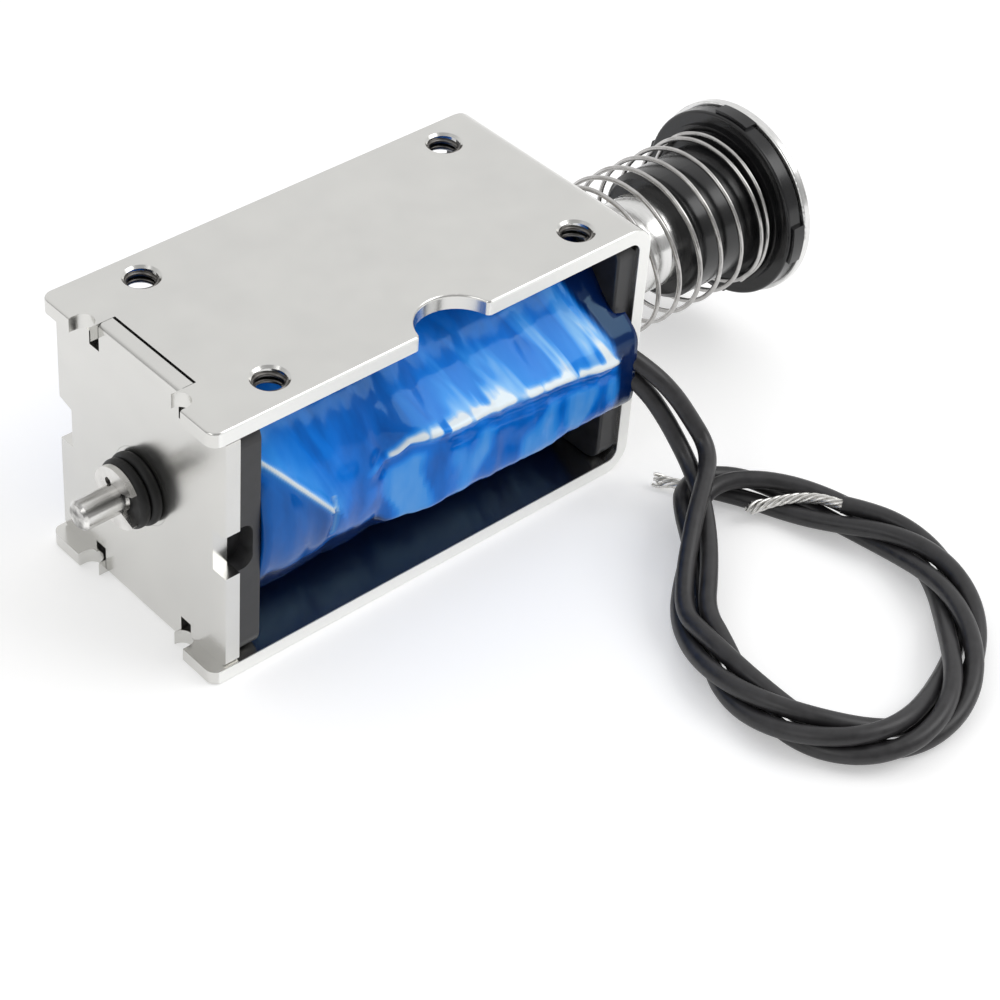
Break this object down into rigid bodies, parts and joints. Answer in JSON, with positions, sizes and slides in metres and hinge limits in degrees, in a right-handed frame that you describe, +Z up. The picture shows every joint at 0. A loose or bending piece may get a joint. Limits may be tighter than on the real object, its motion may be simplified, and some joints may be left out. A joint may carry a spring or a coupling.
{
  "type": "push pull solenoid",
  "caption": "Open-frame linear solenoid: a taped coil in a folded steel frame, a spring-returned plunger with a capped spring seat, and a push rod through the fixed end.",
  "frame": {"origin": "centre of the frame's underside, the face it is set down on", "axes": "+X along the working axis towards the sprung cap, -X towards the push rod's tip, -Y towards the front with the notch and the leads, +Z up through the tapped holes"},
  "size_m": [0.0864, 0.0734, 0.03],
  "materials": {
    "plated_steel": "semi-gloss nickel plate on blanked and folded steel",
    "bobbin_plastic": "glossy black moulding",
    "copper_wire": "enamelled copper winding wire",
    "blue_tape": "glossy polyester tape with wrinkles",
    "sleeve_plastic": "matt black sleeve",
    "tube_brass": "drawn brass",
    "turned_steel": "nickel-plated turned steel with fine turning marks",
    "ring_steel": "plated spring steel stamping",
    "bumper_rubber": "black rubber with a dull shine",
    "seat_plastic": "glossy black moulding",
    "spring_steel": "bright spring wire",
    "lead_insulation": "black flexible insulation, satin",
    "tinned_copper": "tinned copper strands, twisted"
  },
  "bodies": {
    "housing": {"frame": "plated_steel", "end_plate": "plated_steel", "bobbin": "bobbin_plastic", "winding": "copper_wire", "coil_tape": "blue_tape", "joint_sleeve_1": "sleeve_plastic", "joint_sleeve_2": "sleeve_plastic", "guide_tube": "tube_brass", "pole_piece": "plated_steel", "gap_washer": "tube_brass", "return_spring": "spring_steel", "lead_1": "lead_insulation", "lead_2": "lead_insulation", "lead_hank": "lead_insulation", "bare_end_1": "tinned_copper", "bare_end_2": "tinned_copper"},
    "plunger": {"plunger": "turned_steel", "push_rod": "turned_steel", "retaining_ring": "ring_steel", "bumper_ring_inner": "bumper_rubber", "bumper_ring_outer": "bumper_rubber", "spring_seat": "seat_plastic", "cap_disc": "turned_steel"}
  },
  "joints": [
    {"name": "plunger_slide", "type": "slide", "parent": "housing", "child": "plunger", "axis": [-1, 0, 0], "range_m": [0, 0.01], "stiffness_N_per_m": 150, "springref_m": -0.01, "deforming": ["return_spring"]}
  ]
}
